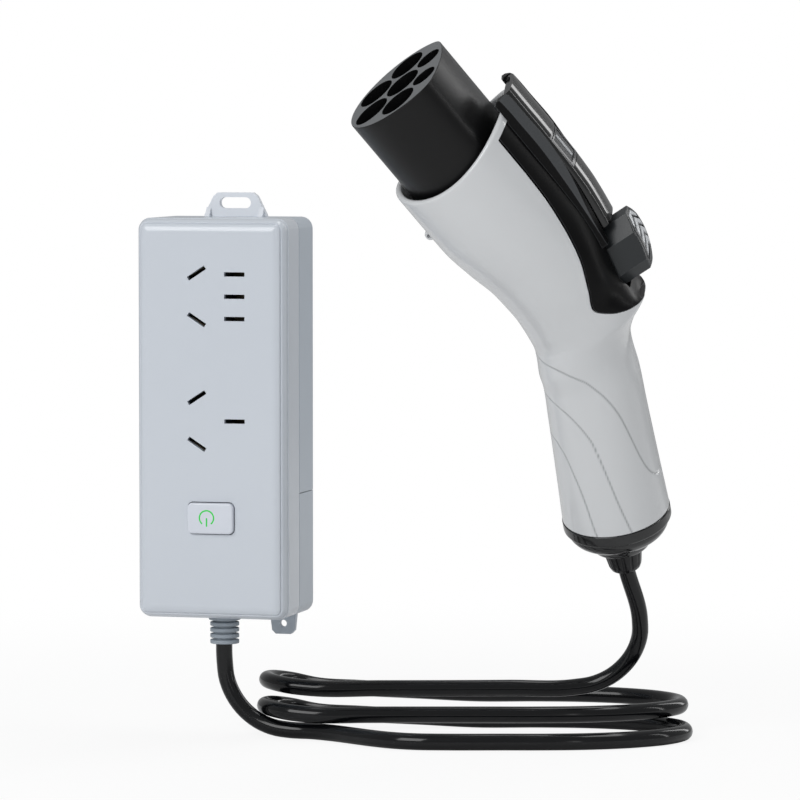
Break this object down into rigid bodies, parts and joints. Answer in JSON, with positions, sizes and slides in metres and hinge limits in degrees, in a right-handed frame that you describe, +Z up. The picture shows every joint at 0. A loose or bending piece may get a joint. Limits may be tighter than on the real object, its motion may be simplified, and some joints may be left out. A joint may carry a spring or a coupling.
{
  "type": "vehicle-to-load adapter",
  "caption": "Socket box with pin-slot outlets and a power key, joined by a coiled cable to a vehicle charging gun with a sprung latch lever and release button.",
  "frame": {"origin": "middle of the hanging slot in the tab above the box, half-way through the tab", "axes": "+Z up along the box's height, +Y from the box's front to its back, +X to the box's right seen from the front"},
  "size_m": [0.2269, 0.1888, 0.2935],
  "materials": {
    "box_front": "gloss",
    "box_rear": "satin",
    "screw_steel": "plain",
    "inner_black": "matte",
    "brass": "plain",
    "board": "satin",
    "key": "satin",
    "sign_green": "gloss",
    "grommet": "matte",
    "cable_black": "matte",
    "gun_shell": "gloss",
    "nose_black": "satin",
    "seal_black": "matte",
    "contact_silver": "polished",
    "latch_black": "gloss",
    "lever_black": "gloss",
    "inset_black": "gloss",
    "button_black": "satin",
    "end_black": "satin"
  },
  "bodies": {
    "adapter": {"front_cover": "box_front", "rear_shell": "box_rear", "rear_lower_cover": "box_rear", "cover_screws": "screw_steel", "outlet_block_upper": "inner_black", "outlet_block_lower": "inner_black", "live_strip": "brass", "neutral_strip": "brass", "earth_strip": "brass", "circuit_board": "board", "key_switch": "inner_black", "grommet": "grommet", "cable_clamp": "inner_black", "cable": "cable_black", "gun_shell_right": "gun_shell", "gun_shell_left": "gun_shell", "shell_screws": "screw_steel", "plug_nose": "nose_black", "nose_seal": "seal_black", "power_contacts": "contact_silver", "signal_contacts": "contact_silver", "contact_plate": "inner_black", "latch_housing": "latch_black", "latch_pin": "screw_steel", "latch_spring": "screw_steel", "end_ring": "end_black", "end_cup": "end_black", "cord_grip": "inner_black", "cable_gland": "cable_black"},
    "key": {"power_key": "key", "power_sign": "sign_green"},
    "latch": {"latch_lever": "lever_black", "lever_inset": "inset_black", "release_button": "button_black"}
  },
  "joints": [
    {"name": "key_press", "type": "slide", "parent": "adapter", "child": "key", "axis": [0, 1, 0], "range_m": [0, 0.0012], "stiffness_N_per_m": 900, "springref_m": -0.0006},
    {"name": "latch_turn", "type": "hinge", "parent": "adapter", "child": "latch", "pos_m": [0.16176, -0.05589, 0.00829], "axis": [-0.126, 0.8964, 0.425], "range_deg": [0, 5], "stiffness_Nm_per_rad": 1.2, "springref_deg": -4.58, "deforming": ["latch_spring"]}
  ]
}
